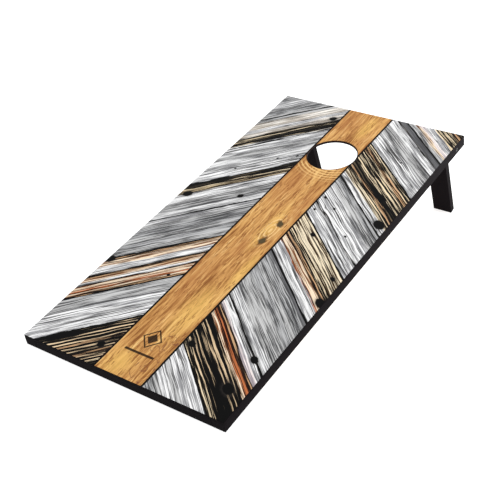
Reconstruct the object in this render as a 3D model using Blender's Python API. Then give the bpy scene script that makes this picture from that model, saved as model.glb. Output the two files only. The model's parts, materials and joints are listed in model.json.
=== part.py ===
"""Cornhole board standing on its folding legs.

A 2 by 4 foot deck panel with one bag hole is glued and nailed to a frame of five rails. Two legs turn
on long bolts through the side rails: they open back against the rear rail and fold forward under the
deck. The nails and the frame's screws are sunk and filled over, so that only the bolts show outside.

Each part is drawn in the board's own axes, X across, Y from the front edge to the back, Z out of the
deck with 0 on the playing surface. The parent empty then tilts the board as its legs hold it, with the
world origin under the middle of the whole object, on the ground.
"""

import math

import bmesh
import bpy
from mathutils import Matrix, Vector

INCH = 0.0254
GAP = 0.0003  # left between pieces that touch

# Board
BOARD_WIDTH = 24 * INCH
BOARD_LENGTH = 48 * INCH
DECK_THICKNESS = 0.25 * INCH
HOLE_RADIUS = 0.073
HOLE_FROM_BACK = 0.237

# Frame
RAIL_WIDTH = 0.036
RAIL_DEPTH = 1 * INCH
EASED_EDGE = 0.001

# Folding legs
LEG_WIDTH = 0.060
LEG_THICKNESS = 0.020
LEG_REACH = 0.2735  # from the pivot to the foot
LEG_SPLAY = math.radians(11)  # past square to the deck, towards the back

# Pivot hardware, M6
BOLT_RADIUS = 0.003
BOLT_HEAD_RADIUS = 0.006
BOLT_HEAD_CONE = 0.0032
BOLT_END = 0.002  # thread past the nut
SPACER_RADIUS = 0.008
WASHER_RADIUS = 0.006
WASHER_THICKNESS = 0.0016
NUT_ACROSS_FLATS = 0.010
NUT_HEIGHT = 0.006

# Screws through the side rails into the ends of the other rails
SCREW_LENGTH = 0.065
SCREW_RADIUS = 0.0021
SCREW_HEAD_RADIUS = 0.0041
SCREW_HEAD_CONE = 0.0026
SCREW_POINT = 0.004
SCREW_SUNK = 0.003

# Brads through the deck into the rails
BRAD_LENGTH = 0.025
BRAD_RADIUS = 0.0006
BRAD_HEAD_RADIUS = 0.0010
BRAD_HEAD_HEIGHT = 0.0006
BRAD_POINT = 0.0015
BRAD_SUNK = 0.0012
SIDE_BRADS = 6
END_BRADS = 2
BRAD_INSET = 0.090
END_BRAD_SPACING = 0.240

# Round shapes
HOLE_SEGMENTS = 72
ROUND_SEGMENTS = 16
BRAD_SEGMENTS = 8
LEG_END_SEGMENTS = 16

# Worked out from the sizes above
HALF_WIDTH = BOARD_WIDTH / 2
FRAME_DEPTH = DECK_THICKNESS + RAIL_DEPTH
RAIL_INNER_X = HALF_WIDTH - RAIL_WIDTH
LEG_OUTER_X = RAIL_INNER_X - WASHER_THICKNESS - 2 * GAP
LEG_INNER_X = LEG_OUTER_X - LEG_WIDTH
PIVOT_Z = -(DECK_THICKNESS + RAIL_DEPTH / 2)
CROSS_RAILS = (
    ("front", 0),
    ("brace", (BOARD_LENGTH - RAIL_WIDTH) / 2),
    ("rear", BOARD_LENGTH - RAIL_WIDTH),
)


def pivot_y():
    """Where the pivot lies so that an open leg's back face meets the rear rail's lower front edge."""
    stop_below_pivot = FRAME_DEPTH + PIVOT_Z
    reach_back = LEG_THICKNESS / 2 + GAP + stop_below_pivot * math.sin(LEG_SPLAY)
    return BOARD_LENGTH - RAIL_WIDTH - reach_back / math.cos(LEG_SPLAY)


PIVOT_Y = pivot_y()


def board_tilt():
    """The angle of the line that touches the front rail's eased lower edge and the foot's front one."""
    down_leg = Vector((math.sin(LEG_SPLAY), -math.cos(LEG_SPLAY)))
    across_leg = Vector((math.cos(LEG_SPLAY), math.sin(LEG_SPLAY)))
    foot = Vector((PIVOT_Y, PIVOT_Z)) + down_leg * (LEG_REACH - EASED_EDGE)
    foot -= across_leg * (LEG_THICKNESS / 2 - EASED_EDGE)
    front = Vector((EASED_EDGE, EASED_EDGE - FRAME_DEPTH))
    return math.atan2(front.y - foot.y, foot.x - front.x)


TILT = board_tilt()


def material(name, colour, roughness, metallic=0.0):
    made = bpy.data.materials.new(name)
    made.use_nodes = True
    shader = made.node_tree.nodes["Principled BSDF"]
    shader.inputs["Base Color"].default_value = (*colour, 1.0)
    shader.inputs["Roughness"].default_value = roughness
    shader.inputs["Metallic"].default_value = metallic
    made.diffuse_color = (*colour, 1.0)
    return made


def place(name, shape, parent, finish=None):
    """Turns a bmesh into an object under a parent."""
    mesh = bpy.data.meshes.new(name)
    bmesh.ops.recalc_face_normals(shape, faces=shape.faces)
    shape.to_mesh(mesh)
    shape.free()
    mesh.shade_smooth()
    mesh.set_sharp_from_angle(angle=math.radians(35))
    piece = bpy.data.objects.new(name, mesh)
    bpy.context.scene.collection.objects.link(piece)
    piece.parent = parent
    if finish:
        mesh.materials.append(finish)
    return piece


def empty(name, parent=None, location=(0, 0, 0)):
    marker = bpy.data.objects.new(name, None)
    bpy.context.scene.collection.objects.link(marker)
    marker.empty_display_size = 0.05
    marker.parent = parent
    marker.location = location
    return marker


def box_shape(low, high):
    low, high = Vector(low), Vector(high)
    shape = bmesh.new()
    middle = Matrix.Translation((low + high) / 2)
    bmesh.ops.create_cube(shape, size=1.0, matrix=middle @ Matrix.Diagonal((*(high - low), 1.0)))
    return shape


def turn(shape, outline, place_at, segments=ROUND_SEGMENTS):
    """Adds the solid that an outline of (radius, z) points makes about Z, moved by a matrix.

    An outline that starts and ends at radius 0 makes a solid with two poles, and any other is a loop
    that makes a ring.
    """
    rings = []
    for radius, z in outline:
        count = segments if radius > 0 else 1
        turns = [math.tau * step / count for step in range(count)]
        rings.append(
            [shape.verts.new(place_at @ Vector((radius * math.cos(a), radius * math.sin(a), z))) for a in turns]
        )
    pairs = list(zip(rings, rings[1:]))
    if len(rings[0]) > 1:
        pairs.append((rings[-1], rings[0]))
    for lower, upper in pairs:
        for step in range(segments):
            after = (step + 1) % segments
            corners = [
                lower[step % len(lower)],
                lower[after % len(lower)],
                upper[after % len(upper)],
                upper[step % len(upper)],
            ]
            shape.faces.new(dict.fromkeys(corners))


def ease(piece, width=EASED_EDGE):
    """Rounds a wooden piece's square edges."""
    bevel = piece.modifiers.new("eased_edges", "BEVEL")
    bevel.width = width
    bevel.segments = 2
    bevel.limit_method = "ANGLE"
    bevel.angle_limit = math.radians(50)


def cut(piece, cutter):
    hole = piece.modifiers.new("cut_" + cutter.name, "BOOLEAN")
    hole.operation = "DIFFERENCE"
    hole.object = cutter
    hole.solver = "EXACT"


def make_cutter(name, shape, parent):
    cutter = place(name, shape, parent)
    cutter.hide_render = True
    cutter.display_type = "WIRE"
    return cutter


def along_x(side, y=PIVOT_Y):
    """Lays a shape turned about Z across the board at the pivot's height, inwards from the board's side."""
    quarter_turn = Matrix.Rotation(-side * math.pi / 2, 4, "Y")
    return Matrix.Translation((side * HALF_WIDTH, y, PIVOT_Z)) @ quarter_turn


def downwards(x, y):
    """Stands a shape turned about Z on its head, down from the deck's face."""
    return Matrix.Translation((x, y, 0)) @ Matrix.Rotation(math.pi, 4, "X")


def brad_places():
    """Every brad's name and its (x, y) on the board, each on the middle line of its rail."""
    places = []
    side_x = HALF_WIDTH - RAIL_WIDTH / 2
    spacing = (BOARD_LENGTH - 2 * BRAD_INSET) / (SIDE_BRADS - 1)
    for side_name, side in (("left", -1), ("right", 1)):
        for number in range(SIDE_BRADS):
            y = BRAD_INSET + number * spacing
            places.append((f"deck_brad_{side_name}_{number + 1}", side * side_x, y))
    for row_name, y in CROSS_RAILS:
        for number in range(END_BRADS):
            x = (number - (END_BRADS - 1) / 2) * END_BRAD_SPACING
            places.append((f"deck_brad_{row_name}_{number + 1}", x, y + RAIL_WIDTH / 2))
    return places


def fastener_outline(head_radius, head_height, radius, length, point, start):
    """A head that narrows to a shank and ends in a point, from start along Z."""
    return [
        (0, start),
        (head_radius, start),
        (head_radius, start + GAP),
        (radius, start + head_height),
        (radius, start + length - point),
        (0, start + length),
    ]


def screw_outline():
    return fastener_outline(
        SCREW_HEAD_RADIUS, SCREW_HEAD_CONE, SCREW_RADIUS, SCREW_LENGTH, SCREW_POINT, SCREW_SUNK
    )


def brad_outline():
    return fastener_outline(
        BRAD_HEAD_RADIUS, BRAD_HEAD_HEIGHT, BRAD_RADIUS, BRAD_LENGTH, BRAD_POINT, BRAD_SUNK
    )


def grown(outline):
    """The hole that a fastener's outline needs: a gap wider all round, and longer at both ends."""
    head, tip = outline[0][1], outline[-1][1]
    ends = {head: head - GAP, tip: tip + GAP}
    return [(radius + GAP if radius else 0, ends.get(z, z)) for radius, z in outline]


def bolt_outline(length):
    return [
        (0, GAP),
        (BOLT_HEAD_RADIUS, GAP),
        (BOLT_HEAD_RADIUS, 2 * GAP),
        (BOLT_RADIUS, GAP + BOLT_HEAD_CONE),
        (BOLT_RADIUS, length - BOLT_RADIUS / 4),
        (BOLT_RADIUS * 3 / 4, length),
        (0, length),
    ]


def bolt_hole_outline(length):
    return [
        (0, -EASED_EDGE),
        (BOLT_HEAD_RADIUS + GAP, -EASED_EDGE),
        (BOLT_HEAD_RADIUS + GAP, GAP),
        (BOLT_RADIUS + GAP, GAP + BOLT_HEAD_CONE),
        (BOLT_RADIUS + GAP, length),
        (0, length),
    ]


def washer_outline(radius, start):
    bore = BOLT_RADIUS + GAP
    end = start + WASHER_THICKNESS
    return [(bore, start), (radius, start), (radius, end), (bore, end)]


def make_deck(board, finish, brad_holes):
    deck = place(
        "deck_panel",
        box_shape((-HALF_WIDTH, 0, -DECK_THICKNESS), (HALF_WIDTH, BOARD_LENGTH, 0)),
        board,
        finish,
    )
    ease(deck)
    shape = bmesh.new()
    centre = Matrix.Translation((0, BOARD_LENGTH - HOLE_FROM_BACK, 0))
    above = DECK_THICKNESS
    below = -2 * DECK_THICKNESS
    turn(shape, [(0, below), (HOLE_RADIUS, below), (HOLE_RADIUS, above), (0, above)], centre, HOLE_SEGMENTS)
    cut(deck, make_cutter("bag_hole_cutter", shape, board))
    cut(deck, brad_holes)


def make_rails(board, finish, brad_holes, screw_holes, pivot_holes):
    """Side rails run the whole length, and the other three lie between them."""
    top = -DECK_THICKNESS - GAP
    for name, side in (("left_side_rail", -1), ("right_side_rail", 1)):
        edges = sorted((side * HALF_WIDTH, side * RAIL_INNER_X))
        rail = place(
            name,
            box_shape((edges[0], 0, -FRAME_DEPTH), (edges[1], BOARD_LENGTH, top)),
            board,
            finish,
        )
        ease(rail)
        cut(rail, brad_holes)
        cut(rail, screw_holes)
        cut(rail, pivot_holes)
    end_x = RAIL_INNER_X - GAP
    for row_name, start in CROSS_RAILS:
        rail = place(
            "centre_brace" if row_name == "brace" else row_name + "_rail",
            box_shape((-end_x, start, -FRAME_DEPTH), (end_x, start + RAIL_WIDTH, top)),
            board,
            finish,
        )
        ease(rail)
        cut(rail, brad_holes)
        cut(rail, screw_holes)


def make_leg(name, side, board, finish, pivot_holes):
    """A flat leg drawn straight down from its pivot, then splayed back."""
    pivot = empty(name + "_pivot", board, (side * LEG_OUTER_X, PIVOT_Y, PIVOT_Z))
    pivot.rotation_euler.x = LEG_SPLAY
    half = LEG_THICKNESS / 2
    outline = [(-half, -LEG_REACH), (half, -LEG_REACH)]
    for step in range(LEG_END_SEGMENTS + 1):
        turned = math.pi * step / LEG_END_SEGMENTS
        outline.append((half * math.cos(turned), half * math.sin(turned)))
    shape = bmesh.new()
    corners = [shape.verts.new((0, y, z)) for y, z in outline]
    outer_face = shape.faces.new(corners)
    grown = bmesh.ops.extrude_face_region(shape, geom=[outer_face])
    moved = [item for item in grown["geom"] if isinstance(item, bmesh.types.BMVert)]
    bmesh.ops.translate(shape, verts=moved, vec=(-side * LEG_WIDTH, 0, 0))
    leg = place(name, shape, pivot, finish)
    ease(leg)
    cut(leg, pivot_holes)


def make_pivot_hardware(side_name, side, board, steel, nylon, black):
    """A bolt from the board's side, a spacer before the leg, and a washer and lock nut after it."""
    spacer_start = RAIL_WIDTH + GAP
    washer_start = HALF_WIDTH - LEG_INNER_X + GAP
    nut_start = washer_start + WASHER_THICKNESS + GAP
    nut_end = nut_start + NUT_HEIGHT

    shape = bmesh.new()
    turn(shape, bolt_outline(nut_end + BOLT_END), along_x(side))
    place(side_name + "_pivot_bolt", shape, board, black)

    shape = bmesh.new()
    turn(shape, washer_outline(SPACER_RADIUS, spacer_start), along_x(side))
    place(side_name + "_spacer_washer", shape, board, nylon)

    shape = bmesh.new()
    turn(shape, washer_outline(WASHER_RADIUS, washer_start), along_x(side))
    place(side_name + "_nut_washer", shape, board, steel)

    shape = bmesh.new()
    corner_radius = NUT_ACROSS_FLATS / 2 / math.cos(math.pi / 6)
    hexagon = [(0, nut_start), (corner_radius, nut_start), (corner_radius, nut_end), (0, nut_end)]
    turn(shape, hexagon, along_x(side), 6)
    nut = place(side_name + "_lock_nut", shape, board, steel)
    shape = bmesh.new()
    bore = BOLT_RADIUS + GAP
    past = nut_end + BOLT_END
    turn(shape, [(0, washer_start), (bore, washer_start), (bore, past), (0, past)], along_x(side))
    cut(nut, make_cutter(side_name + "_nut_bore_cutter", shape, board))


def screw_places():
    """Every frame screw's name, side and y: one at each end of the three rails across the board."""
    return [
        (f"frame_screw_{side_name}_{row_name}", side, start + RAIL_WIDTH / 2)
        for side_name, side in (("left", -1), ("right", 1))
        for row_name, start in CROSS_RAILS
    ]


def make_fasteners(board, steel):
    for name, side, y in screw_places():
        shape = bmesh.new()
        turn(shape, screw_outline(), along_x(side, y))
        place(name, shape, board, steel)
    for name, x, y in brad_places():
        shape = bmesh.new()
        turn(shape, brad_outline(), downwards(x, y), BRAD_SEGMENTS)
        place(name, shape, board, steel)


def make_screw_holes(board):
    shape = bmesh.new()
    for _, side, y in screw_places():
        turn(shape, grown(screw_outline()), along_x(side, y))
    return make_cutter("screw_hole_cutter", shape, board)


def make_brad_holes(board):
    shape = bmesh.new()
    for _, x, y in brad_places():
        turn(shape, grown(brad_outline()), downwards(x, y), BRAD_SEGMENTS)
    return make_cutter("brad_hole_cutter", shape, board)


def make_pivot_holes(board):
    shape = bmesh.new()
    for side in (-1, 1):
        turn(shape, bolt_hole_outline(HALF_WIDTH - LEG_INNER_X + LEG_THICKNESS), along_x(side))
    return make_cutter("pivot_hole_cutter", shape, board)


def stand_on_ground(board):
    """Moves the board so that the origin is at the bottom centre of the whole object's box."""
    bpy.context.view_layer.update()
    graph = bpy.context.evaluated_depsgraph_get()
    points = []
    for piece in bpy.context.scene.objects:
        if piece.type == "MESH" and not piece.hide_render:
            shown = piece.evaluated_get(graph)
            points += [shown.matrix_world @ vertex.co for vertex in shown.data.vertices]
    low = Vector(min(point[axis] for point in points) for axis in range(3))
    high = Vector(max(point[axis] for point in points) for axis in range(3))
    middle = (low + high) / 2
    board.location -= Vector((middle.x, middle.y, low.z))


def main():
    for item in list(bpy.data.objects):
        bpy.data.objects.remove(item, do_unlink=True)

    printed_wood = material("deck_wood", (0.42, 0.36, 0.30), 0.45)
    black_paint = material("frame_paint", (0.022, 0.020, 0.024), 0.42)
    black_steel = material("bolt_steel", (0.03, 0.03, 0.032), 0.38, 1.0)
    zinc = material("zinc_steel", (0.62, 0.62, 0.60), 0.35, 1.0)
    nylon = material("washer_nylon", (0.05, 0.05, 0.05), 0.5)

    board = empty("board")
    board.rotation_euler.x = TILT
    brad_holes = make_brad_holes(board)
    screw_holes = make_screw_holes(board)
    pivot_holes = make_pivot_holes(board)
    make_deck(board, printed_wood, brad_holes)
    make_rails(board, black_paint, brad_holes, screw_holes, pivot_holes)
    for side_name, side in (("left", -1), ("right", 1)):
        make_leg(side_name + "_leg", side, board, black_paint, pivot_holes)
        make_pivot_hardware(side_name, side, board, zinc, nylon, black_steel)
    make_fasteners(board, zinc)
    stand_on_ground(board)


main()
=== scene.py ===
import json
import math

import bmesh
import bpy
from mathutils import Euler, Matrix, Vector

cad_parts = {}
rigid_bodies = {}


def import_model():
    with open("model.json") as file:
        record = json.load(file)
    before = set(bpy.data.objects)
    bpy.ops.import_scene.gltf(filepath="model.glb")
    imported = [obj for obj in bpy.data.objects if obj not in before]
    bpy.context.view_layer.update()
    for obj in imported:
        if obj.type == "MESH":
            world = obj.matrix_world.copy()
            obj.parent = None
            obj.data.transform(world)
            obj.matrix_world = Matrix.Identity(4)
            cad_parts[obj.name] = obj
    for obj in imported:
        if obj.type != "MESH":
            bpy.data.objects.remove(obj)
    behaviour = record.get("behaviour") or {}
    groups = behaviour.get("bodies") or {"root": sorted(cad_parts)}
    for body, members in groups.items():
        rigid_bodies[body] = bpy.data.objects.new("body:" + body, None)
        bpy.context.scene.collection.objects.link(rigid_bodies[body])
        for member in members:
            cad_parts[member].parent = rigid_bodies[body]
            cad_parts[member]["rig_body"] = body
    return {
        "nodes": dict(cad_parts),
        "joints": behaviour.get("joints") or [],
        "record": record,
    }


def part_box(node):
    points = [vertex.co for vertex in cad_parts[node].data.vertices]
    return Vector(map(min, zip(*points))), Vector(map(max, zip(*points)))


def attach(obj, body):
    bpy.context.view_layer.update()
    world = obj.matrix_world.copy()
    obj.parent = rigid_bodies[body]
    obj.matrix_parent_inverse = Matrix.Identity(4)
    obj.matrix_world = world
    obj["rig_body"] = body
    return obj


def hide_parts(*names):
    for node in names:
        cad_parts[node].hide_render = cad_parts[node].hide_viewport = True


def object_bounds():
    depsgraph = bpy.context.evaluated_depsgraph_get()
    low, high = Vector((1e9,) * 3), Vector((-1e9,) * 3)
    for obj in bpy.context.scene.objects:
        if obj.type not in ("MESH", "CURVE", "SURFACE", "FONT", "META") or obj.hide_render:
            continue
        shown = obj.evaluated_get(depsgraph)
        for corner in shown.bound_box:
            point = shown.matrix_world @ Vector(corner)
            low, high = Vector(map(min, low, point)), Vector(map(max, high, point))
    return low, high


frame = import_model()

CAD_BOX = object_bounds()

INCH = 0.0254
TURN = 2 * math.pi
RIGHT = Vector((1, 0, 0))

# The picture's camera, set from the middle of the object's box.
CAMERA_AZIMUTH = math.radians(35.12)
CAMERA_ELEVATION = math.radians(29.07)
CAMERA_ROLL = math.radians(-0.70)
CAMERA_DISTANCE = 2.664
CAMERA_LENS = 70.7
CAMERA_AIM = Vector((-0.0261, -0.0550, -0.0540))

# The printed top. The film lies just above the panel's own top face.
PRINT_THICKNESS = 0.00035
PRINT_CLEARANCE = 0.00005
PRINT_INSET = 0.0010
PANEL_ROUNDING = 0.0006
HOLE_STEPS = 128
HOLE_BORDER = 0.0024
RIDGE_SPACING = 0.0105

# The print's layout, in inches. Planks are placed where they meet the stripe, from the back edge.
STRIPE_HALF_WIDTH = 3.0
STRIPE_BORDER = 0.23

# For each side of the print, -1 the left and 1 the right: the planks' lean, how wide the joint along a
# plank's front edge gets, and how much longer than wide its spots are.
LEANS = {-1: 0.967, 1: 0.867}
GAPS = {-1: 0.36, 1: 0.22}
SPOT_STRETCH = {-1: 1.10, 1: 1.40}

# Each kind of printed wood: the light and the dark of its streaks, how ridged it is, how cracked,
# and how much of the dark shows.
WOODS = {
    "white": ((1.0, 1.0, 1.0), (0.57, 0.57, 0.58), 0.0, 1.0, 0.45),
    "warm": ((0.98, 0.96, 0.93), (0.60, 0.56, 0.51), 0.0, 0.80, 0.5),
    "tinted": ((0.98, 0.94, 0.92), (0.64, 0.60, 0.63), 0.0, 0.70, 0.5),
    "pale": ((0.95, 0.95, 0.95), (0.52, 0.52, 0.53), 0.0, 0.80, 0.5),
    "grey": ((0.80, 0.80, 0.80), (0.32, 0.32, 0.325), 0.0, 0.50, 0.5),
    "blue": ((0.74, 0.742, 0.747), (0.30, 0.302, 0.308), 0.0, 0.40, 0.5),
    "slate": ((0.44, 0.44, 0.45), (0.30, 0.30, 0.31), 0.0, 0.10, 0.5),
    "ink": ((0.34, 0.30, 0.24), (0.02, 0.02, 0.02), 1.0, 0.3, 0.85),
    "olive": ((0.80, 0.72, 0.58), (0.16, 0.12, 0.08), 1.0, 0.5, 0.55),
    "barn": ((0.95, 0.87, 0.73), (0.05, 0.035, 0.02), 1.0, 0.5, 0.62),
    "cream": ((0.96, 0.90, 0.78), (0.26, 0.19, 0.12), 1.0, 0.7, 0.48),
    "charred": ((0.92, 0.81, 0.66), (0.02, 0.02, 0.02), 1.0, 0.1, 0.80),
    "soot": ((0.88, 0.77, 0.62), (0.02, 0.02, 0.02), 1.0, 0.1, 0.90),
    "brown": ((0.80, 0.64, 0.48), (0.10, 0.06, 0.04), 1.0, 0.5, 0.60),
    "rust": ((0.76, 0.44, 0.26), (0.18, 0.07, 0.04), 1.0, 0.4, 0.54),
    "amber": ((0.97, 0.89, 0.78), (0.50, 0.31, 0.18), 1.0, 0.6, 0.48),
}

# Each plank: where it starts, then its bands of wood, from back to front, each with where it ends.
LEFT_PLANKS = [
    (-9.5, [("grey", -7.7), ("blue", -6.9), ("white", -4.9), ("grey", -4.0), ("blue", -3.1),
            ("grey", -2.45), ("ink", -2.2)]),
    (-2.2, [("grey", -1.5), ("warm", 0.2), ("white", 1.2), ("warm", 2.2), ("ink", 2.6),
            ("barn", 3.3), ("ink", 4.0), ("barn", 4.3), ("white", 4.7)]),
    (4.7, [("white", 6.0), ("pale", 6.4), ("grey", 7.7), ("pale", 8.3), ("pale", 10.1),
           ("slate", 10.3), ("white", 11.4), ("pale", 12.35)]),
    (12.35, [("ink", 13.2), ("barn", 13.7), ("olive", 14.5), ("white", 16.2), ("grey", 18.1),
             ("slate", 18.3), ("pale", 19.8)]),
    (19.8, [("pale", 20.8), ("grey", 21.6), ("blue", 23.5), ("grey", 24.4), ("blue", 25.4),
            ("grey", 26.9)]),
    (26.9, [("brown", 27.5), ("amber", 28.5), ("white", 29.7), ("ink", 29.9), ("brown", 30.4),
            ("amber", 31.0), ("white", 31.6), ("ink", 31.8), ("amber", 32.6), ("rust", 33.0),
            ("amber", 33.4), ("brown", 33.9)]),
    (33.9, [("grey", 36.2), ("slate", 36.35), ("white", 37.7), ("pale", 38.4), ("white", 39.6),
            ("white", 40.7)]),
    (40.7, [("charred", 43.2), ("brown", 43.6), ("charred", 45.2), ("brown", 45.8),
            ("charred", 47.0), ("barn", 50.0)]),
]
RIGHT_PLANKS = [
    (-9.0, [("ink", -7.0), ("brown", -6.2), ("barn", -4.5), ("white", -3.4), ("tinted", -2.8),
            ("amber", -2.4), ("grey", -1.5)]),
    (-1.5, [("slate", -0.5), ("ink", -0.35), ("white", 0.6), ("pale", 1.1), ("grey", 2.9),
            ("pale", 3.8), ("white", 4.7), ("pale", 5.6)]),
    (5.6, [("barn", 6.4), ("brown", 7.0), ("barn", 8.9), ("ink", 9.8), ("brown", 10.3),
           ("barn", 10.9), ("cream", 11.4), ("white", 12.6)]),
    (12.6, [("blue", 13.5), ("grey", 14.5), ("pale", 15.4), ("white", 17.5), ("ink", 17.7),
            ("pale", 18.4), ("white", 19.9)]),
    (19.9, [("cream", 22.5), ("barn", 23.3), ("brown", 23.9), ("amber", 24.7), ("rust", 24.9),
            ("white", 25.8), ("pale", 26.7)]),
    (26.7, [("slate", 27.2), ("blue", 28.4), ("grey", 29.3), ("blue", 30.4), ("grey", 32.9),
            ("pale", 33.8), ("grey", 34.3)]),
    (34.3, [("white", 35.2), ("tinted", 35.6), ("brown", 36.2), ("rust", 36.9), ("amber", 37.3),
            ("charred", 38.0), ("soot", 40.9), ("barn", 41.8)]),
    (41.8, [("white", 43.9), ("grey", 44.8), ("white", 45.9), ("grey", 47.0), ("blue", 48.0),
            ("pale", 50.0)]),
]

# Nail holes and small knots: inches across from the left edge, inches from the back edge, and radius.
LEFT_SPOTS = [
    (8.2, 2.6, 0.40), (6.7, 20.3, 0.32), (0.9, 22.4, 0.50), (0.3, 35.2, 0.50), (7.9, 45.5, 0.38),
    (6.5, 12.4, 0.12), (8.4, 11.1, 0.14), (3.1, 16.1, 0.12), (7.6, 34.6, 0.16),
]
RIGHT_SPOTS = [
    (23.0, 18.6, 0.56), (17.6, 22.8, 0.25), (23.0, 28.0, 0.24), (23.7, 31.5, 0.50),
    (22.2, 40.6, 0.36), (22.1, 44.6, 0.52), (15.8, 41.5, 0.34), (18.4, 11.2, 0.12),
    (15.5, 16.7, 0.15), (17.4, 18.1, 0.14), (15.5, 19.0, 0.13), (20.8, 21.7, 0.12), (19.9, 7.7, 0.10),
]

JOINT_BLACK = (0.02, 0.02, 0.02)
CRACK_DARK = (0.08, 0.07, 0.07)
SPOT_RING = (0.22, 0.20, 0.19)
PAINT_DARK = (0.052, 0.040, 0.048)
PAINT_LIGHT = (0.086, 0.070, 0.080)
PAINT_BELOW = (0.07, 0.055, 0.064)

# In metres. PAINT_REACH is how far paint runs in under the panel's edges.
PAINT_REACH = 0.010
BORE_RADIUS = 0.0033
SHANK_RADIUS = 0.0030
SOCKET_RADIUS = 0.0020

FLOOR_GLOW = 0.80


def linear(colour):
    """A display colour, 0 to 1, as the linear colour that shaders take."""
    return tuple(c / 12.92 if c <= 0.04045 else ((c + 0.055) / 1.055) ** 2.4 for c in colour) + (1.0,)


# ---- the board's own axes


def mount(name):
    return next(m for m in frame["record"]["mounts"] if m["name"] == name)


def span(node, origin, direction):
    """How far a CAD node reaches along a direction, as its lowest and highest distance from a point."""
    distances = [(v.co - origin).dot(direction) for v in frame["nodes"][node].data.vertices]
    return min(distances), max(distances)


UP = Vector(mount("deck_top")["axis"]).normalized()
BACKWARD = Vector(mount("rear_face")["axis"]).normalized()
TOP_POINT = Vector(mount("deck_top")["pos_m"])
FRONT_POINT = Vector(mount("front_face")["pos_m"])
BOARD_ORIGIN = TOP_POINT + BACKWARD * (FRONT_POINT - TOP_POINT).dot(BACKWARD)
BOARD_AXES = Matrix.Translation(BOARD_ORIGIN) @ Matrix((RIGHT, BACKWARD, UP)).transposed().to_4x4()

HALF_WIDTH = span("deck_panel", BOARD_ORIGIN, RIGHT)[1]
BOARD_LENGTH = span("deck_panel", BOARD_ORIGIN, BACKWARD)[1]
PANEL_THICKNESS = -span("deck_panel", BOARD_ORIGIN, UP)[0]


def y_at(back):
    """A place along the board, from its distance to the back edge in inches."""
    return BOARD_LENGTH - back * INCH


def hole_circle():
    """The bag hole's middle along the board and its radius, from the panel's own rim."""
    opening = next(o for o in frame["record"]["physics"]["openings"] if o["name"] == "bag_hole")
    low, high = (Vector(corner) for corner in opening["box_m"])
    inverse = BOARD_AXES.inverted()
    middle = (inverse @ ((low + high) / 2)).y
    points = [inverse @ v.co for v in frame["nodes"]["deck_panel"].data.vertices]
    reaches = [math.hypot(p.x, p.y - middle) for p in points]
    inside = [r for r in reaches if 0.05 < r < HALF_WIDTH / 2]
    return middle, min(inside)


HOLE_MIDDLE, HOLE_RADIUS = hole_circle()


# ---- building materials from nodes


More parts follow.
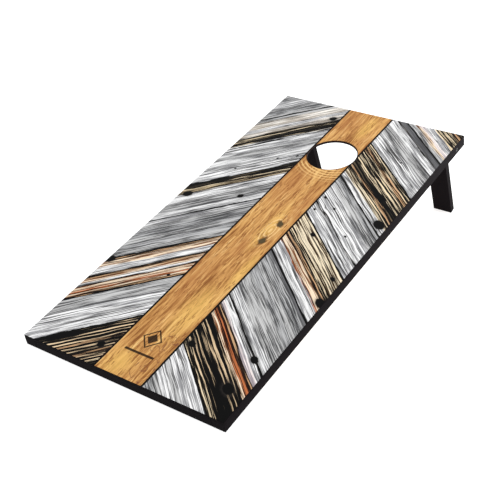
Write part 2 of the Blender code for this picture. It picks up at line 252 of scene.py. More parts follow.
class Nodes:
    """Builds one material, a node for each call. A value is a number or another node's output."""

    def __init__(self, name):
        self.material = bpy.data.materials.new(name)
        self.material.use_nodes = True
        self.tree = self.material.node_tree
        self.tree.nodes.clear()

    def put(self, socket, value):
        if isinstance(value, bpy.types.NodeSocket):
            self.tree.links.new(value, socket)
        else:
            socket.default_value = value

    def math(self, operation, a, b=0.0, c=0.0):
        node = self.tree.nodes.new("ShaderNodeMath")
        node.operation = operation
        for socket, value in zip(node.inputs, (a, b, c)):
            self.put(socket, value)
        return node.outputs[0]

    def times(self, a, b):
        return self.math("MULTIPLY", a, b)

    def minus(self, a, b):
        return self.math("SUBTRACT", a, b)

    def times_plus(self, a, b, c):
        """a times b, plus c."""
        return self.math("MULTIPLY_ADD", a, b, c)

    def vector(self, x, y, z=0.0):
        node = self.tree.nodes.new("ShaderNodeCombineXYZ")
        for socket, value in zip(node.inputs, (x, y, z)):
            self.put(socket, value)
        return node.outputs[0]

    def place(self):
        """The point at rest, as x, y and z. Every mesh lies where it belongs, in the frame's axes."""
        source = self.tree.nodes.new("ShaderNodeTexCoord")
        node = self.tree.nodes.new("ShaderNodeSeparateXYZ")
        self.put(node.inputs[0], source.outputs["Object"])
        return node.outputs[0], node.outputs[1], node.outputs[2]

    def reach(self, direction):
        """How far the point is along a direction."""
        source = self.tree.nodes.new("ShaderNodeTexCoord")
        node = self.tree.nodes.new("ShaderNodeVectorMath")
        node.operation = "DOT_PRODUCT"
        self.put(node.inputs[0], source.outputs["Object"])
        node.inputs[1].default_value = tuple(direction)
        return node.outputs["Value"]

    def on_board(self):
        """The point in the board's axes: x across it, y back along it and z up from its face."""
        parts = []
        for direction in (RIGHT, BACKWARD, UP):
            parts.append(self.minus(self.reach(direction), BOARD_ORIGIN.dot(direction)))
        return parts

    def noise(self, vector, detail=2.0, roughness=0.5, distortion=0.0):
        node = self.tree.nodes.new("ShaderNodeTexNoise")
        self.put(node.inputs["Vector"], vector)
        node.inputs["Scale"].default_value = 1.0
        node.inputs["Detail"].default_value = detail
        node.inputs["Roughness"].default_value = roughness
        node.inputs["Distortion"].default_value = distortion
        return node.outputs[0]

    def speckle(self, point, scales, detail=3):
        """Noise with this many marks to the metre along each part of the point."""
        parts = [self.times(part, scale) for part, scale in zip(point, scales)]
        return self.noise(self.vector(*parts), detail)

    def streaks(self, along, across, length, width, seed, detail=2.0, roughness=0.5):
        """Noise drawn out along the grain: its marks are about that long and that wide, in metres."""
        point = self.vector(self.math("DIVIDE", along, length), self.math("DIVIDE", across, width), seed)
        return self.noise(point, detail, roughness)

    def ease(self, value, low, high, start=0.0, end=1.0):
        """A smooth step from start to end as value goes from low to high."""
        node = self.tree.nodes.new("ShaderNodeMapRange")
        node.interpolation_type = "SMOOTHSTEP"
        for socket, given in zip(node.inputs, (value, low, high, start, end)):
            self.put(socket, given)
        return node.outputs[0]

    def fade(self, value, low, high):
        """A smooth step down from 1 to 0 as value goes from low to high."""
        return self.ease(value, low, high, 1.0, 0.0)

    def mix(self, share, a, b):
        node = self.tree.nodes.new("ShaderNodeMix")
        node.data_type = "RGBA"
        node.clamp_factor = True
        self.put(node.inputs["Factor"], share)
        self.put(node.inputs[6], a)
        self.put(node.inputs[7], b)
        return node.outputs[2]

    def ramp(self, value, stops):
        node = self.tree.nodes.new("ShaderNodeValToRGB")
        self.put(node.inputs[0], value)
        elements = node.color_ramp.elements
        elements[0].position, elements[0].color = stops[0]
        elements[1].position, elements[1].color = stops[-1]
        for position, colour in stops[1:-1]:
            elements.new(position).color = colour
        return node.outputs[0]

    def channels(self, colour):
        node = self.tree.nodes.new("ShaderNodeSeparateColor")
        self.put(node.inputs[0], colour)
        return node.outputs[0], node.outputs[1], node.outputs[2]

    def spot(self, x, y, centre_x, centre_y, radius_x, radius_y, wobble=0.0):
        """The distance from a centre, counted in radii, so that 1 is the spot's edge."""
        across = self.math("DIVIDE", self.minus(x, centre_x), radius_x)
        along = self.math("DIVIDE", self.minus(y, centre_y), radius_y)
        squares = self.math("ADD", self.times(across, across), self.times(along, along))
        distance = self.math("SQRT", squares)
        if not wobble:
            return distance
        shake = self.speckle((x, y), (170, 170), 2)
        return self.math("ADD", distance, self.times(self.minus(shake, 0.5), wobble))

    def finish(self, colour, roughness, height=None, bump=0.0001, specular=0.5, metallic=0.0):
        """The surface and the material's output. height is in parts of bump, in metres."""
        shader = self.tree.nodes.new("ShaderNodeBsdfPrincipled")
        output = self.tree.nodes.new("ShaderNodeOutputMaterial")
        self.put(shader.inputs["Base Color"], colour)
        self.put(shader.inputs["Roughness"], roughness)
        shader.inputs["Specular IOR Level"].default_value = specular
        shader.inputs["Metallic"].default_value = metallic
        if height is not None:
            relief = self.tree.nodes.new("ShaderNodeBump")
            relief.inputs["Distance"].default_value = bump
            relief.inputs["Strength"].default_value = 1.0
            self.put(relief.inputs["Height"], height)
            self.put(shader.inputs["Normal"], relief.outputs[0])
        self.put(output.inputs[0], shader.outputs[0])
        return self.material


def nearest_of(nodes, distances):
    """The smallest of several distances."""
    nearest = distances[0]
    for other in distances[1:]:
        nearest = nodes.math("MINIMUM", nearest, other)
    return nearest


# ---- the print


def band_stops(start, bands, end, pick):
    """Colour ramp stops for a plank's bands, with a short blend between neighbours."""
    width = end - start
    stops = []
    low = start
    for wood, high in bands:
        high = min(high, end)
        blend = min(0.22 * (high - low), 0.07)
        colour = pick(WOODS[wood])
        stops.append(((low + blend - start) / width, colour))
        stops.append(((high - blend - start) / width, colour))
        low = high
    return stops


def plank_axes(nodes, side):
    """Along the plank's grain, across it, and where its line meets the stripe, in inches from the back."""
    x, y, _ = nodes.on_board()
    lean = LEANS[side]
    angle = math.atan(lean)
    outward = nodes.minus(nodes.math("ABSOLUTE", x), STRIPE_HALF_WIDTH * INCH)
    from_back = nodes.minus(BOARD_LENGTH, y)
    met = nodes.minus(from_back, nodes.times(outward, lean))
    across = nodes.times(met, math.cos(angle))
    along = nodes.math(
        "ADD",
        nodes.times(outward, math.cos(angle)),
        nodes.times(from_back, math.sin(angle)),
    )
    return along, across, nodes.math("DIVIDE", met, INCH)


def plank_gap(nodes, along, met, start, end, seed, widest):
    """The black line along both of a plank's edges, 1 in the line. It is widest along the front edge."""
    wander = nodes.noise(nodes.vector(nodes.times(along, 16), start * 0.37, seed), 3, 0.6)
    behind = nodes.minus(nodes.minus(met, start), nodes.ease(wander, 0.3, 0.7, 0.04, 0.12))
    ahead = nodes.minus(nodes.minus(end, met), nodes.ease(wander, 0.3, 0.7, widest, 0.10))
    return nodes.fade(nodes.math("MINIMUM", behind, ahead), -0.02, 0.03)


def spot_mark(nodes, point, spots, side, outer, inner):
    """How far into the nearest dark spot the point is, 0 outside and 1 inside."""
    along, across = point
    distances = []
    for spot_across, back, radius in spots:
        at_along, at_across = grain_place(spot_across, back, side)
        size = radius * INCH
        reaches = (size * 0.92, size * SPOT_STRETCH[side])
        distances.append(nodes.spot(across, along, at_across, at_along, *reaches, 0.5))
    return nodes.fade(nearest_of(nodes, distances), inner, outer)


def grain_place(across, back, side):
    """A place given in inches, as its distances along and across the grain, as plank_axes has them."""
    lean = LEANS[side]
    angle = math.atan(lean)
    outward = (abs(across - HALF_WIDTH / INCH) - STRIPE_HALF_WIDTH) * INCH
    met = back * INCH - outward * lean
    return outward * math.cos(angle) + back * INCH * math.sin(angle), met * math.cos(angle)


def wavy(nodes, along, across, seed):
    """The distance across the grain, with the grain's own waves."""
    swing = nodes.minus(nodes.streaks(along, across, 0.10, 0.060, seed, 1), 0.5)
    shiver = nodes.minus(nodes.streaks(along, across, 0.030, 0.018, seed + 0.5, 2), 0.5)
    return nodes.times_plus(swing, 0.008, nodes.times_plus(shiver, 0.0025, across))


def plank_pattern(nodes, along, grain_across, traits, seed):
    """How dark the plank is at a point, 0 to 1, and how much of a crack it is in."""
    ridged, cracked, dark_share = traits
    coarse = nodes.streaks(along, grain_across, 0.30, 0.0062, seed + 2, 2)
    middle = nodes.streaks(along, grain_across, 0.13, 0.0032, seed + 2.5, 2)
    fine = nodes.streaks(along, grain_across, 0.07, 0.0016, seed + 3, 3, 0.6)
    cloud = nodes.streaks(along, grain_across, 0.11, 0.030, seed + 4, 3, 0.6)
    soft = nodes.times_plus(middle, 0.44, nodes.times(fine, 0.34))
    soft = nodes.ease(nodes.times_plus(cloud, 0.22, soft), 0.44, 0.56)
    broad = nodes.ease(dark_share, 0.55, 0.85)
    sharp = nodes.times_plus(nodes.minus(coarse, middle), broad, middle)
    sharp = nodes.times_plus(sharp, 0.70, nodes.times(fine, 0.30))
    beat = nodes.math("SINE", nodes.times(grain_across, TURN / RIDGE_SPACING))
    sharp = nodes.times_plus(beat, nodes.times_plus(broad, 0.035, 0.04), sharp)
    level = nodes.times_plus(dark_share, -0.26, 0.63)
    ridges = nodes.ease(nodes.minus(sharp, level), -0.035, 0.035)
    pattern = nodes.math(
        "ADD",
        nodes.times(soft, nodes.minus(1.0, ridged)),
        nodes.times(ridges, ridged),
    )
    split = nodes.streaks(along, grain_across, 0.30, 0.0052, seed + 5, 3, 0.5)
    level = nodes.times_plus(cracked, -0.10, 0.70)
    cracks = nodes.ease(nodes.minus(split, level), 0.0, 0.03)
    vein = nodes.streaks(along, grain_across, 0.50, 0.0140, seed + 6, 2)
    thin = nodes.fade(nodes.math("ABSOLUTE", nodes.minus(vein, 0.5)), 0.006, 0.026)
    return pattern, nodes.math("MAXIMUM", cracks, nodes.times(thin, cracked))


def plank_material(name, side, start, bands, end, spots, seed):
    """One printed plank of weathered wood."""
    nodes = Nodes(name)
    along, across, met = plank_axes(nodes, side)
    wander = nodes.minus(nodes.streaks(along, across, 0.14, 0.022, seed), 0.5)
    fringe = nodes.minus(nodes.streaks(along, across, 0.10, 0.0030, seed + 1, 3, 0.6), 0.5)
    place = nodes.times_plus(wander, 1.0, nodes.times_plus(fringe, 0.75, met))
    share = nodes.math("DIVIDE", nodes.minus(place, start), end - start)

    light = nodes.ramp(share, band_stops(start, bands, end, lambda w: linear(w[0])))
    dark = nodes.ramp(share, band_stops(start, bands, end, lambda w: linear(w[1])))
    traits = nodes.ramp(share, band_stops(start, bands, end, lambda w: (w[2], w[3], w[4], 1.0)))
    grain_across = wavy(nodes, along, across, seed + 7)
    pattern, cracks = plank_pattern(nodes, along, grain_across, nodes.channels(traits), seed)
    colour = nodes.mix(pattern, light, dark)
    colour = printed(nodes, cracks, 0.85, CRACK_DARK, colour)
    gap = plank_gap(nodes, along, met, start, end, seed, GAPS[side])
    colour = nodes.mix(gap, colour, linear(JOINT_BLACK))
    if spots:
        ring = spot_mark(nodes, (along, across), spots, side, 1.8, 0.9)
        colour = printed(nodes, ring, 0.45, SPOT_RING, colour)
        core = spot_mark(nodes, (along, across), spots, side, 1.15, 0.95)
        colour = nodes.mix(core, colour, linear(JOINT_BLACK))
    roughness = nodes.times_plus(pattern, 0.12, 0.40)
    height = nodes.minus(1.0, nodes.math("ADD", gap, nodes.times(pattern, 0.3)))
    return nodes.finish(colour, roughness, height, 0.00006, specular=0.07)


def stripe_knots():
    """The stripe's two knots: across from the middle and along the board, in metres."""
    return [(1.50 * INCH, y_at(22.7)), (1.28 * INCH, y_at(25.8))]


def knot_distance(nodes, x, y, knot_x, knot_y):
    """The distance from a knot, counted so that 1 is its ragged edge."""
    place = nodes.vector(nodes.times(x, 75), nodes.times(y, 60), 6.3)
    ragged = nodes.minus(nodes.noise(place, 3, 0.6), 0.5)
    even = nodes.spot(x, y, knot_x, knot_y, 0.0095, 0.0135)
    return nodes.times_plus(ragged, 2.4, even)


def stripe_swirl(nodes, x, y):
    """Light curls of grain beside the knots, 1 on a curl."""
    near = nodes.spot(x, y, 1.15 * INCH, y_at(24.1), 0.55 * INCH, 1.5 * INCH, 0.30)
    curls = nodes.ease(nodes.math("SINE", nodes.times(near, TURN * 1.7)), 0.0, 0.9)
    return nodes.times(curls, nodes.fade(near, 1.1, 2.2))


def stripe_figure(nodes, x, y):
    """The long grain lines of the stripe, which bend around its knots."""
    sway = nodes.speckle((x, y), (9, 2.6), 2)
    field = nodes.times_plus(sway, 9.0, nodes.times(x, 75))
    for knot_x, knot_y in stripe_knots():
        near = nodes.spot(x, y, knot_x, knot_y, 0.016, 0.075)
        spread = nodes.times_plus(nodes.times(near, near), 1.0, 1.0)
        swell = nodes.math("DIVIDE", 3.4, spread)
        field = nodes.math("ADD", field, swell)
    wave = nodes.math("SINE", nodes.times(field, TURN))
    return nodes.times_plus(wave, 0.5, 0.5)


def stripe_arcs(nodes, x, y):
    """Growth rings cut across, in front of the hole, 1 on each light ring."""
    near = nodes.spot(x, y, 0.8 * INCH, y_at(9.4), 1.05 * INCH, INCH, 0.24)
    rings = nodes.math("SINE", nodes.times(near, TURN * 2.3))
    rings = nodes.ease(rings, -0.2, 0.8)
    outer = nodes.fade(near, 3.6, 5.4)
    in_front = nodes.fade(y, y_at(12.2), y_at(11.2))
    return nodes.times(rings, nodes.times(outer, in_front))


def stripe_veins(nodes, x, y):
    """Thin brown veins near the front, 1 on a vein."""
    place = nodes.vector(nodes.times(x, 42), nodes.times(y, 16), 2.5)
    field = nodes.noise(place, 2, 0.5, 0.4)
    line = nodes.fade(nodes.math("ABSOLUTE", nodes.minus(field, 0.5)), 0.006, 0.024)
    near = nodes.spot(x, y, 1.8 * INCH, y_at(45), 1.7 * INCH, 5.0 * INCH)
    return nodes.times(line, nodes.fade(near, 0.7, 1.1))


def ornament_mark(nodes, x, y):
    """A plain diamond with a bar under it, 1 where it is printed."""
    middle = y_at(42.7)
    side = nodes.math("ABSOLUTE", nodes.math("DIVIDE", x, 1.15 * INCH))
    rise = nodes.math("ABSOLUTE", nodes.math("DIVIDE", nodes.minus(y, middle), 1.35 * INCH))
    diamond = nodes.math("ADD", side, rise)
    outline = nodes.fade(nodes.math("ABSOLUTE", nodes.minus(diamond, 0.9)), 0.07, 0.10)
    heart = nodes.fade(diamond, 0.50, 0.56)
    bar_y = nodes.math("ABSOLUTE", nodes.minus(y, y_at(44.75)))
    bar = nodes.math(
        "MULTIPLY",
        nodes.fade(bar_y, 0.12 * INCH, 0.16 * INCH),
        nodes.fade(nodes.math("ABSOLUTE", x), 1.70 * INCH, 1.74 * INCH),
    )
    return nodes.math("MAXIMUM", nodes.math("MAXIMUM", outline, heart), bar)


# Brighter and browner places in the stripe: inches across from its middle, inches from the back edge,
# and the reach each way.
STRIPE_LIGHTS = [
    (2.3, 31.0, 0.6, 3.6), (1.2, 38.0, 1.4, 4.2), (0.8, 24.0, 0.8, 4.0),
    (-1.0, 46.5, 1.6, 2.0), (1.0, 3.0, 0.8, 2.5),
]
STRIPE_SHADES = [
    (-1.6, 33.0, 1.3, 5.0), (-1.4, 16.0, 1.8, 4.5), (2.0, 19.0, 0.9, 4.0),
    (-1.6, 2.5, 1.6, 3.5), (1.8, 6.0, 1.0, 2.5), (0.2, 27.5, 1.4, 2.2),
]


def printed(nodes, mark, most, tint, colour):
    """The colour with a tint over it where the mark is, most of the way at the mark's strongest."""
    return nodes.mix(nodes.times(mark, most), colour, linear(tint))


def blended(nodes, x, y, colour, places, tint, most):
    """Mixes a tint into the colour around each of these places."""
    for across, back, wide, long in places:
        near = nodes.spot(x, y, across * INCH, y_at(back), wide * INCH, long * INCH, 0.6)
        colour = printed(nodes, nodes.fade(near, 0.2, 1.4), most, tint, colour)
    return colour


def stripe_material():
    """The honey-coloured plank down the middle."""
    nodes = Nodes("print_stripe")
    x, y, _ = nodes.on_board()
    waved = wavy(nodes, y, x, 2.2)
    figure = stripe_figure(nodes, waved, y)
    drift = nodes.streaks(y, waved, 0.20, 0.022, 3.1, 3, 0.6)
    fine = nodes.streaks(y, waved, 0.050, 0.0020, 5.2, 4, 0.65)
    middle = nodes.streaks(y, waved, 0.10, 0.0060, 4.4, 3, 0.6)
    tone = nodes.times_plus(figure, 0.14, nodes.times(drift, 1.1))
    tone = nodes.times_plus(middle, 1.3, nodes.times_plus(fine, 1.2, tone))
    colour = nodes.ramp(
        nodes.times_plus(tone, 1.25, -1.84),
        [
            (0.0, linear((0.50, 0.31, 0.15))),
            (0.25, linear((0.66, 0.45, 0.24))),
            (0.5, linear((0.79, 0.58, 0.34))),
            (0.75, linear((0.87, 0.67, 0.40))),
            (1.0, linear((0.94, 0.78, 0.52))),
        ],
    )
    colour = blended(nodes, x, y, colour, STRIPE_SHADES, (0.70, 0.46, 0.27), 0.45)
    colour = blended(nodes, x, y, colour, STRIPE_LIGHTS, (0.94, 0.76, 0.42), 0.60)
    dashes = nodes.ease(nodes.streaks(y, waved, 0.026, 0.0034, 8.4, 3, 0.6), 0.54, 0.62)
    where = nodes.ease(nodes.streaks(y, x, 0.06, 0.03, 9.9), 0.35, 0.6, 0.15, 0.85)
    colour = printed(nodes, dashes, where, (0.54, 0.33, 0.17), colour)
    colour = printed(nodes, stripe_arcs(nodes, x, y), 0.80, (0.96, 0.80, 0.53), colour)
    colour = printed(nodes, stripe_veins(nodes, x, y), 0.6, (0.44, 0.25, 0.20), colour)
    colour = printed(nodes, stripe_swirl(nodes, x, y), 0.75, (0.97, 0.82, 0.58), colour)
    for knot_x, knot_y in stripe_knots():
        near = knot_distance(nodes, x, y, knot_x, knot_y)
        colour = nodes.mix(nodes.ease(near, 0.9, 1.5, 0.75, 0.0), colour, linear((0.50, 0.32, 0.16)))
        colour = nodes.mix(nodes.ease(near, 0.7, 1.0, 0.95, 0.0), colour, linear((0.31, 0.27, 0.18)))
    colour = printed(nodes, ornament_mark(nodes, x, y), 0.93, (0.10, 0.06, 0.04), colour)
    edge = nodes.minus(STRIPE_HALF_WIDTH * INCH, nodes.math("ABSOLUTE", x))
    border = nodes.fade(edge, (STRIPE_BORDER - 0.02) * INCH, (STRIPE_BORDER + 0.02) * INCH)
    colour = nodes.mix(border, colour, linear((0.03, 0.02, 0.02)))
    roughness = nodes.times_plus(fine, -0.10, 0.48)
    return nodes.finish(colour, roughness, tone, 0.00005, specular=0.07)


# ---- the other materials


def painted_wood(name, along, across, seed):
    """Black satin paint over wood: faint grain along the piece and small changes in sheen."""
    nodes = Nodes(name)
    length = nodes.reach(along)
    width = nodes.reach(across)
    depth = nodes.reach(Vector(along).cross(Vector(across)))
    side = nodes.math("ADD", width, nodes.times(depth, 1.3))
    grain = nodes.streaks(length, side, 0.030, 0.0012, seed, 4, 0.6)
    broad = nodes.streaks(length, side, 0.12, 0.020, seed + 1, 2)
    speck = nodes.streaks(length, side, 0.0012, 0.0012, seed + 2, 2)
    shade = nodes.times_plus(broad, 0.6, nodes.times(grain, 0.4))
    colour = nodes.mix(shade, linear(PAINT_DARK), linear(PAINT_LIGHT))
    roughness = nodes.times_plus(grain, 0.18, nodes.times_plus(broad, 0.12, 0.38))
    height = nodes.times_plus(speck, 0.25, grain)
    return nodes.finish(colour, roughness, height, 0.00012, specular=0.012)


def bare_panel():
    """The panel's underside: pale veneer with long grain, painted only along its edges, over the rails."""
    nodes = Nodes("panel_underside")
    x, y, _ = nodes.on_board()
    figure = nodes.streaks(y, x, 0.35, 0.020, 4.0, 3)
    grain = nodes.streaks(y, x, 0.04, 0.0014, 6.0, 4, 0.6)
    tone = nodes.times_plus(figure, 0.6, nodes.times(grain, 0.4))
    colour = nodes.ramp(
        tone,
        [
            (0.25, linear((0.62, 0.48, 0.33))),
            (0.5, linear((0.74, 0.61, 0.45))),
            (0.75, linear((0.82, 0.71, 0.56))),
        ],
    )
    side_edge = nodes.minus(HALF_WIDTH, nodes.math("ABSOLUTE", x))
    end_edge = nodes.math("MINIMUM", y, nodes.minus(BOARD_LENGTH, y))
    edge = nodes.math("MINIMUM", side_edge, end_edge)
    over_rail = nodes.fade(edge, PAINT_REACH, PAINT_REACH + 0.002)
    colour = nodes.mix(over_rail, colour, linear(PAINT_BELOW))
    return nodes.finish(colour, 0.75, grain, 0.00015, specular=0.2)


def rim_wood_and_shade():
    """The sanded wood rim round the hole, in a dark reddish brown that is partly painted shade along the
    hole's edge.
    """
    nodes = Nodes("panel_rim")
    speck = nodes.speckle(nodes.on_board(), (700, 700, 1500))
    # Dark reddish brown: the rim's own wood colour, with painted shade along the hole's edge mixed into it.
    colour = nodes.mix(speck, linear((0.20, 0.12, 0.09)), linear((0.34, 0.22, 0.16)))
    return nodes.finish(colour, 0.7, speck, 0.00010, specular=0.2)


def metal(name, dark, light, roughness):
    """Plated steel with fine turned marks and a little cloudiness."""
    nodes = Nodes(name)
    place = nodes.place()
    fine = nodes.speckle(place, (4200, 900, 900))
    cloud = nodes.speckle(place, (260, 260, 260))
    colour = nodes.mix(cloud, linear(dark), linear(light))
    rough = nodes.times_plus(fine, 0.2, nodes.times_plus(cloud, 0.1, roughness - 0.15))
    return nodes.finish(colour, rough, fine, 0.00002, metallic=1.0)


def plastic(name, colour):
    """Moulded plastic with a fine even texture."""
    nodes = Nodes(name)
    speck = nodes.speckle(nodes.place(), (1600, 1600, 1600))
    darker = tuple(c * 0.82 for c in colour)
    mixed = nodes.mix(speck, linear(darker), linear(colour))
    return nodes.finish(mixed, nodes.times_plus(speck, 0.15, 0.38), speck, 0.00003, specular=0.4)


# ---- shapes


def linked(name, data):
    """A new object in the scene."""
    thing = bpy.data.objects.new(name, data)
    bpy.context.scene.collection.objects.link(thing)
    return thing


def as_object(name, mesh, materials, placed):
    """A piece whose points are moved to where it lies. Its materials read them there."""
    mesh.transform(placed)
    piece = linked(name, mesh)
    for material in materials:
        mesh.materials.append(material)
    return piece


def smooth(mesh, angle=35):
    mesh.shade_smooth()
    mesh.set_sharp_from_angle(angle=math.radians(angle))


def rectangle(x_low, x_high, y_low, y_high, corner=0.0, steps=6):
    """A rectangle's outline, with its corners rounded if a radius is given."""
    if not corner:
        return [(x_low, y_low), (x_high, y_low), (x_high, y_high), (x_low, y_high)]
    points = []
    for x, y, start in (
        (x_high - corner, y_low + corner, -90),
        (x_high - corner, y_high - corner, 0),
        (x_low + corner, y_high - corner, 90),
        (x_low + corner, y_low + corner, 180),
    ):
        for step in range(steps + 1):
            turned = math.radians(start + 90 * step / steps)
            points.append((x + corner * math.cos(turned), y + corner * math.sin(turned)))
    return points


def circle(y, radius, steps=HOLE_STEPS):
    turns = [TURN * step / steps for step in range(steps)]
    return [(radius * math.cos(turned), y + radius * math.sin(turned)) for turned in turns]


def flat_mesh(name, outlines, low, high, rounding=0.0):
    """A flat plate between two heights with these outlines, the later ones holes. Its edges are rounded."""
    curve = bpy.data.curves.new(name, "CURVE")
    curve.dimensions = "2D"
    curve.fill_mode = "BOTH"
    curve.extrude = (high - low) / 2 - rounding
    curve.bevel_depth = rounding
    curve.bevel_resolution = 2 if rounding else 0
    curve.offset = -rounding
    for outline in outlines:
        spline = curve.splines.new("POLY")
        spline.points.add(len(outline) - 1)
        spline.use_cyclic_u = True
        for point, (x, y) in zip(spline.points, outline):
            point.co = (x, y, 0, 1)
    holder = linked(name + "_outline", curve)
    graph = bpy.context.evaluated_depsgraph_get()
    mesh = bpy.data.meshes.new_from_object(holder.evaluated_get(graph))
    bpy.data.objects.remove(holder)
    bpy.data.curves.remove(curve)
    mesh.materials.clear()
    mesh.transform(Matrix.Translation((0, 0, (low + high) / 2)))
    shape = bmesh.new()
    shape.from_mesh(mesh)
    bmesh.ops.remove_doubles(shape, verts=shape.verts, dist=0.000002)
    bmesh.ops.recalc_face_normals(shape, faces=shape.faces)
    shape.to_mesh(mesh)
    shape.free()
    mesh.name = name
    return mesh


def ring_radius(form, angle):
    """One ring's radius at an angle: round, or a hexagon cut back to a circle at its corners."""
    if form[0] == "round":
        return form[1]
    flat = form[1] / math.cos((angle + math.pi / 6) % (math.pi / 3) - math.pi / 6)
    return min(flat, form[2])


def ring(radius, distance, material=0):
    """A round ring for lathed."""
    return ("round", radius), distance, material


def lathed(rings, steps=48):
    """A solid of rings along X. Each is its form, its distance, and the material of the band after it."""
    shape = bmesh.new()
    loops = []
    for form, distance, _ in rings:
        loop = []
        for step in range(steps):
            angle = TURN * step / steps
            radius = ring_radius(form, angle)
            loop.append(shape.verts.new((distance, radius * math.cos(angle), radius * math.sin(angle))))
        loops.append(loop)
    for index in range(len(loops) - 1):
        for step in range(steps):
            after = (step + 1) % steps
            near, far = loops[index], loops[index + 1]
            face = shape.faces.new((near[step], near[after], far[after], far[step]))
            face.material_index = rings[index][2]
    return shape, loops


def closed(name, shape, loops, joined):
    """Finishes a lathed shape: its last ring joins its first, or both ends are capped."""
    if joined:
        steps = len(loops[0])
        for step in range(steps):
            after = (step + 1) % steps
            shape.faces.new((loops[-1][step], loops[-1][after], loops[0][after], loops[0][step]))
    else:
        shape.faces.new(loops[0])
        shape.faces.new(loops[-1])
    bmesh.ops.recalc_face_normals(shape, faces=shape.faces)
    mesh = bpy.data.meshes.new(name)
    shape.to_mesh(mesh)
    shape.free()
    return mesh


# ---- the deck


def planks_mesh(name, side, planks):
    """Half of the printed top, cut into its planks, a material for each."""
    inner = STRIPE_HALF_WIDTH * INCH
    outer = HALF_WIDTH - PRINT_INSET
    lean = LEANS[side]
    low = PRINT_INSET
    high = BOARD_LENGTH - PRINT_INSET
    shape = bmesh.new()
    corners = [(side * inner, low), (side * outer, low), (side * outer, high), (side * inner, high)]
    shape.faces.new([shape.verts.new((x, y, -PRINT_THICKNESS)) for x, y in corners])
    for start, _ in planks[1:]:
        meets = Vector((side * inner, y_at(start), 0))
        normal = Vector((side * lean, 1, 0))
        geometry = shape.verts[:] + shape.edges[:] + shape.faces[:]
        bmesh.ops.bisect_plane(shape, geom=geometry, plane_co=meets, plane_no=normal)
    starts = [start for start, _ in planks]
    for face in shape.faces:
        middle = face.calc_center_median()
        met = (BOARD_LENGTH - middle.y - (abs(middle.x) - inner) * lean) / INCH
        face.material_index = max(index for index, start in enumerate(starts) if met > start)
    grown = bmesh.ops.extrude_face_region(shape, geom=shape.faces[:])
    moved = [item for item in grown["geom"] if isinstance(item, bmesh.types.BMVert)]
    bmesh.ops.translate(shape, verts=moved, vec=(0, 0, PRINT_THICKNESS))
    bmesh.ops.recalc_face_normals(shape, faces=shape.faces)
    mesh = bpy.data.meshes.new(name)
    shape.to_mesh(mesh)
    shape.free()
    paint_sides(mesh, len(planks))
    return mesh


def paint_sides(mesh, index):
    """Gives a thin film's upright edges their own material."""
    for face in mesh.polygons:
        if abs(face.normal.z) < 0.5:
            face.material_index = index


def spots_on(planks, index, side, spots):
    """The spots that lie on one plank or touch it."""
    lean = LEANS[side]
    start = planks[index][0]
    end = plank_end(planks, index)
    found = []
    for across, back, radius in spots:
        outward = abs(across - HALF_WIDTH / INCH) - STRIPE_HALF_WIDTH
        met = back - outward * lean
        if start - radius * 1.5 < met < end + radius * 1.5:
            found.append((across, back, radius))
    return found


def plank_end(planks, index):
    if index + 1 < len(planks):
        return planks[index + 1][0]
    return planks[index][1][-1][1]


def make_planks(side_name, side, planks, spots, edge):
    """One side of the print. edge is the material of the film's cut edges."""
    materials = []
    for index, (start, bands) in enumerate(planks):
        name = f"print_{side_name}_plank_{index + 1}"
        mine = spots_on(planks, index, side, spots)
        seed = 11.7 * index + (40 if side < 0 else 170)
        materials.append(plank_material(name, side, start, bands, plank_end(planks, index), mine, seed))
    materials.append(edge)
    mesh = planks_mesh(f"print_{side_name}", side, planks)
    piece = as_object(f"print_{side_name}", mesh, materials, BOARD_AXES)
    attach(piece, "board")
    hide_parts("deck_panel")


def make_stripe(edge):
    """The middle of the print, with the hole through it. edge is as in make_planks."""
    wide = STRIPE_HALF_WIDTH * INCH
    outline = rectangle(-wide, wide, PRINT_INSET, BOARD_LENGTH - PRINT_INSET)
    hole = circle(HOLE_MIDDLE, HOLE_RADIUS + HOLE_BORDER)
    mesh = flat_mesh("print_stripe", [outline, hole], -PRINT_THICKNESS, 0.0)
    paint_sides(mesh, 1)
    piece = as_object("print_stripe", mesh, [stripe_material(), edge], BOARD_AXES)
    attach(piece, "board")
    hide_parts("deck_panel")


def make_panel():
    """The panel under the print, with its edges painted, its underside bare, and its rim round the hole dark
    brown, partly painted shade.
    """
    outline = rectangle(-HALF_WIDTH, HALF_WIDTH, 0, BOARD_LENGTH, 0.002)
    hole = circle(HOLE_MIDDLE, HOLE_RADIUS)
    top = -PRINT_THICKNESS - PRINT_CLEARANCE
    mesh = flat_mesh("deck_board", [outline, hole], -PANEL_THICKNESS, top, PANEL_ROUNDING)
    for face in mesh.polygons:
        reach = math.hypot(face.center.x, face.center.y - HOLE_MIDDLE)
        if face.normal.z < -0.95:
            face.material_index = 1
        # The rounded top edge round the hole takes the rim's colour, which is partly painted shade.
        elif face.normal.z > 0.2 and reach < HOLE_RADIUS + 0.002:
            face.material_index = 2
    smooth(mesh)
    paint = painted_wood("panel_edge_paint", BACKWARD, RIGHT, 31)
    piece = as_object("deck_board", mesh, [paint, bare_panel(), rim_wood_and_shade()], BOARD_AXES)
    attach(piece, "board")
    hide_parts("deck_panel")


# ---- the frame and its fasteners


def paint_frame():
    """New materials for the CAD's rails and legs, each with its grain along the piece."""
    across_board = [("front_rail", 3), ("centre_brace", 9), ("rear_rail", 15)]
    along_board = [("left_side_rail", 21), ("right_side_rail", 27)]
    for name, seed in across_board:
        repaint(name, painted_wood(name + "_paint", RIGHT, UP, seed))
    for name, seed in along_board:
        repaint(name, painted_wood(name + "_paint", BACKWARD, UP, seed))
    for name, seed in (("left_leg", 33), ("right_leg", 39)):
        repaint(name, painted_wood(name + "_paint", leg_direction(name), RIGHT, seed))


